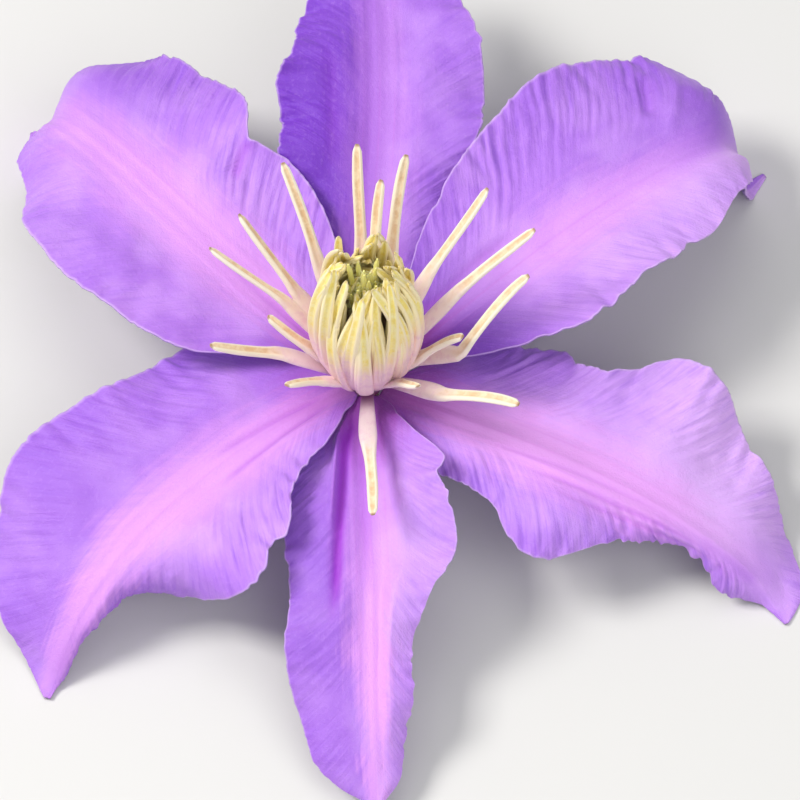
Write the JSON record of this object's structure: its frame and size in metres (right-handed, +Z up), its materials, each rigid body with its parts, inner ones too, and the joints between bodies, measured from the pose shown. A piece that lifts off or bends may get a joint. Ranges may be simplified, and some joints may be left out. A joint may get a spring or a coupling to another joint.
{
  "type": "clematis flower",
  "caption": "Open clematis flower with wide waved lilac sepals bent down at their ends, a tall barrel of cream stamens round green styles, and a short cut stalk",
  "frame": {"origin": "on the surface the flower lies on, under the middle of its box", "axes": "+Z up out of the open flower, +Y towards the sepal at the picture's top, +X to its right"},
  "size_m": [0.0978, 0.1188, 0.0388],
  "materials": {
    "sepal": "soft satin, lilac with a pink band",
    "stamen": "matt cream",
    "style": "matt yellow-green",
    "stalk": "matt green"
  },
  "bodies": {
    "root": {"sepal_top": "sepal", "sepal_upper_right": "sepal", "sepal_lower_right": "sepal", "sepal_bottom": "sepal", "sepal_lower_left": "sepal", "sepal_upper_left": "sepal", "stamens": "stamen", "styles": "style", "stalk": "stalk"}
  },
  "joints": []
}
